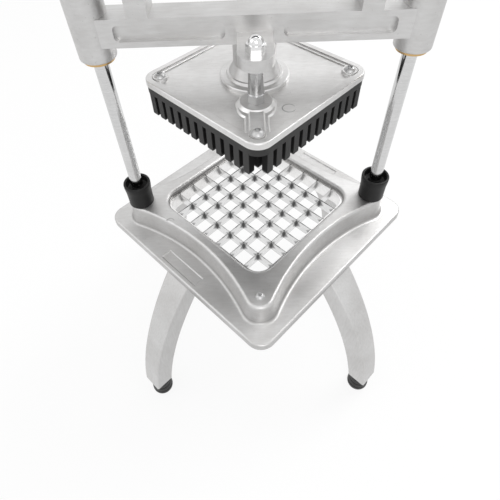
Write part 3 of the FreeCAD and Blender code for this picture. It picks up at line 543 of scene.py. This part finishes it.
# %% The rod caps
FLUTES = 18
flute_depth = 0.5 * MM
for side in ("left", "right"):
    middle, radius, low, high = round_box("rod_cap_" + side)
    bore, bore_top = rod_radius + 0.05 * MM, low + 6.5 * MM

    def fluted(angle, r, z):
        outside = np.clip((r - radius * 0.9) / (radius * 0.1), 0, 1)
        skirt = outside * np.clip((high - 3.5 * MM - z) / MM, 0, 1)
        return r - flute_depth * skirt * (0.5 - 0.5 * np.cos(FLUTES * angle))

    outline = rounded([
        (0, high), (radius * 0.72, high - 0.5 * MM), (radius, high - 4 * MM), (radius, low + 1.2 * MM),
        (radius * 0.95, low), (bore, low), (bore, bore_top), (0, bore_top),
    ], np.array([0, 2.2, 2.0, 0.6, 0.4, 0.3, 0.2, 0]) * MM)
    open_outline = outline[ARC_STEPS - 1:1 - ARC_STEPS]
    piece = turned("fluted_rod_cap_" + side, open_outline, middle, "base", cap_plastic,
                   180, fluted, ring=False)
    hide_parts("rod_cap_" + side)
print("caps: %d flutes on a radius of %.1f mm" % (FLUTES, radius / MM))

# %% [markdown]
# ## The posts between the tray and the yoke
# The bright post on the front boss of the tray stands on a hexagonal foot, which takes a spanner, and is
# polished round above it. A hexagon is a radius of flat / cos(angle to the nearest flat), and a blend by
# height changes it to a circle.

# %% The posts
low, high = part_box("spacer_posts")
post_radius = (high.x - low.x) / 2
post_reach = high.y - post_radius
hex_top = low.z + 4.6 * MM
stud_bore = 2.6 * MM


def hex_foot(angle, r, z):
    """The radius of a hexagon below hex_top, and of the plain turned post above it."""
    folded = (angle + math.pi / 6) % (math.pi / 3) - math.pi / 6
    hexagon = np.minimum(post_radius * 0.866 / np.cos(folded), r)
    outside = np.clip((r - post_radius * 0.7) / (post_radius * 0.05), 0, 1)
    share = np.clip((hex_top - z) / (0.3 * MM), 0, 1) * outside
    return hexagon * share + r * (1 - share)


for sign, place in ((-1, "front"), (1, "rear")):
    neck = post_radius * 0.84
    outline = rounded([
        (stud_bore, low.z), (post_radius, low.z), (post_radius, hex_top), (neck, hex_top + 0.5 * MM),
        (neck, high.z - 1.6 * MM), (post_radius * 0.97, high.z - 1.2 * MM), (post_radius * 0.97, high.z),
        (stud_bore, high.z),
    ], np.array([0.1, 0.5, 0.5, 0.4, 0.4, 0.3, 0.3, 0.1]) * MM)
    middle = (0, sign * post_reach)
    piece = turned("post_" + place, outline, middle, "head", post_steel, 96, hex_foot)
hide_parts("spacer_posts")
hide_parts("spacer_posts")
print("posts: %.1f mm wide, %.1f mm tall" % (2 * post_radius / MM, (high.z - low.z) / MM))

# %% [markdown]
# ## The grip
# The grip is moulded rubber with soft finger waves between finer rings. Along its axis the radius is a
# full one less a wave of cosines, and the ends are rounded. It is turned about the handle's axis, which
# lies along X.

# %% The grip
low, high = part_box("handle_grip")
grip_radius = (high.z - low.z) / 2
grip_axis = ((low.y + high.y) / 2, (low.z + high.z) / 2)
grip_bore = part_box("handle_bar")[1].z - grip_axis[1] + 0.1 * MM
RINGS = 22
span = np.linspace(0, 1, 560)
round_end = 3 * MM
x_along = low.x + (high.x - low.x) * span
from_end = np.minimum(x_along - low.x, high.x - x_along)
to_round = np.clip(round_end - from_end, 0, round_end)
end_drop = round_end - np.sqrt(np.clip(round_end ** 2 - to_round ** 2, 0, None))
inner_share = np.clip((from_end - 5 * MM) / (3 * MM), 0, 1)
ring = np.clip(np.cos(2 * math.pi * RINGS * (span - 0.5)) * -1 - 0.55, 0, 1) / 0.45
wave = 0.5 - 0.5 * np.cos(2 * math.pi * 4 * span)
outer = grip_radius - end_drop - inner_share * (0.7 * MM * ring + 0.5 * MM * wave)
radius = np.concatenate([[grip_bore], outer, [grip_bore]])
place = np.concatenate([[low.x], x_along, [high.x]])
angle = np.linspace(0, 2 * math.pi, 72, endpoint=False)[:, None]
y = grip_axis[0] + radius * np.cos(angle)
z = grip_axis[1] + radius * np.sin(angle)
grid = np.stack([place + 0 * angle, y, z], -1)
grip = put_in_mesh("finger_grip", grid, "head", grip_rubber)
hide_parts("handle_grip")
print("grip: %.0f mm long, %d rings, %d faces" % ((high.x - low.x) / MM, RINGS, len(grip.data.polygons)))

# %% [markdown]
# ## Marks of the casting
# A casting keeps small marks of its mould. The photograph shows a faint ring on the tray and a short arc
# on the platform. Each is a thin bead along an arc, sunk by half into the face that it lies on.

# %% Casting marks
def bead(name, centre, height, radius, start, end, thickness, body, material):
    """A bead along an arc: the middle follows the arc, and a flattened circle is carried along it. The
    thickness fades to nothing at both ends by the square root of a sine, which rounds them."""
    share = np.linspace(0, 1, 40)[None, :]
    around = np.linspace(0, 2 * math.pi, 10, endpoint=False)[:, None]
    angle = np.radians(start + (end - start) * share)
    fat = thickness * np.sqrt(np.clip(np.sin(math.pi * share), 0, 1))
    r = radius + fat * np.cos(around)
    x = centre[0] + r * np.cos(angle)
    y = centre[1] + r * np.sin(angle)
    z = height + 0.45 * fat * np.sin(around) + 0 * r
    return put_in_mesh(name, np.stack([x, y, z], -1), body, material, ring=False)


tray_floor_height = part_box("pusher_tray")[0].z + 2.0 * MM
platform_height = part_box("base_plate")[1].z
bead("tray_ring_mark", (15.9 * MM, -29.9 * MM), tray_floor_height, 3.2 * MM, 20, 345, 0.32 * MM,
     "head", mark_metal)
bead("platform_arc_mark", (-57.8 * MM, -20.4 * MM), platform_height, 2.8 * MM, 15, 165, 0.45 * MM,
     "base", mark_metal)
print("marks at %.1f mm and %.1f mm" % (tray_floor_height / MM, platform_height / MM))

# %% [markdown]
# ## Floor, background and lamps
# The photograph's background is plain white. The floor and the world are white where the camera, a
# reflection or a clear surface sees them, and the floor keeps a soft shadow, because part of its colour
# is lit. The lamps are large and soft: a key from the right and behind, and weaker ones from overhead,
# the left and the front.

# %% Floor and world
FLOOR_HALF = 6.0
floor_mesh = bpy.data.meshes.new("floor")
corners = [(-FLOOR_HALF, -FLOOR_HALF, 0), (FLOOR_HALF, -FLOOR_HALF, 0), (FLOOR_HALF, FLOOR_HALF, 0),
           (-FLOOR_HALF, FLOOR_HALF, 0)]
floor_mesh.from_pydata(corners, [], [(0, 1, 2, 3)])
floor = bpy.data.objects.new("floor", floor_mesh)
bpy.context.scene.collection.objects.link(floor)
paper = Finish("white_paper")
paper.surface(Base_Color=(0.9, 0.9, 0.9, 1), Roughness=0.9)
white = paper.node("ShaderNodeEmission", {}, {"Color": (1, 1, 1, 1), "Strength": 1.0})
PLAIN_SHARE = 0.88
shown = paper.node("ShaderNodeMixShader", {}, {0: paper.seen_ray() * PLAIN_SHARE,
                                               1: Wire(paper, paper.shader.outputs[0]), 2: white})
paper.tree.links.new(shown.socket, paper.tree.nodes["Material Output"].inputs["Surface"])
floor.data.materials.append(paper.material)
floor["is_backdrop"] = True

world = bpy.data.worlds.new("studio")
bpy.context.scene.world = world
world.use_nodes = True
sky = Sheet(world.node_tree)
back = sky.tree.nodes["Background"]
AMBIENT = 0.62
sky.set(back.inputs["Color"], (1, 1, 1, 1))
sky.set(back.inputs["Strength"], sky.seen_ray() * (1 - AMBIENT) + AMBIENT)
print("floor and world ready")

# %% The lamps
def softbox(name, place, aim, size, watts):
    """A square area lamp that looks from its place to the point aimed at."""
    data = bpy.data.lights.new(name, "AREA")
    data.size = size
    data.energy = watts
    lamp = bpy.data.objects.new(name, data)
    lamp.location = place
    lamp.rotation_euler = (Vector(aim) - Vector(place)).to_track_quat("-Z", "Y").to_euler()
    bpy.context.scene.collection.objects.link(lamp)
    return lamp


blades_middle = (0, 0, 0.13)
softbox("key_right", (0.88, 0.54, 1.1), blades_middle, 0.7, 8.5)
softbox("overhead", (0.1, 0.45, 1.5), blades_middle, 0.5, 2.5)
softbox("fill_left", (-1.0, -0.2, 0.9), blades_middle, 0.8, 2.0)
softbox("front", (0.1, -1.1, 0.9), blades_middle, 0.6, 4)
scene = bpy.context.scene
scene.view_settings.view_transform = "Standard"

# %% [markdown]
# ## Compare the sizes
# The pieces made here must stay inside the imported model's box, so the largest difference between the
# two boxes is printed.

# %% Print the largest difference
shown_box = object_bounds()
differences = [abs(a - b) / MM for c, v in zip(cad_box, shown_box) for a, b in zip(c, v)]
print("largest difference in mm:", max(differences))
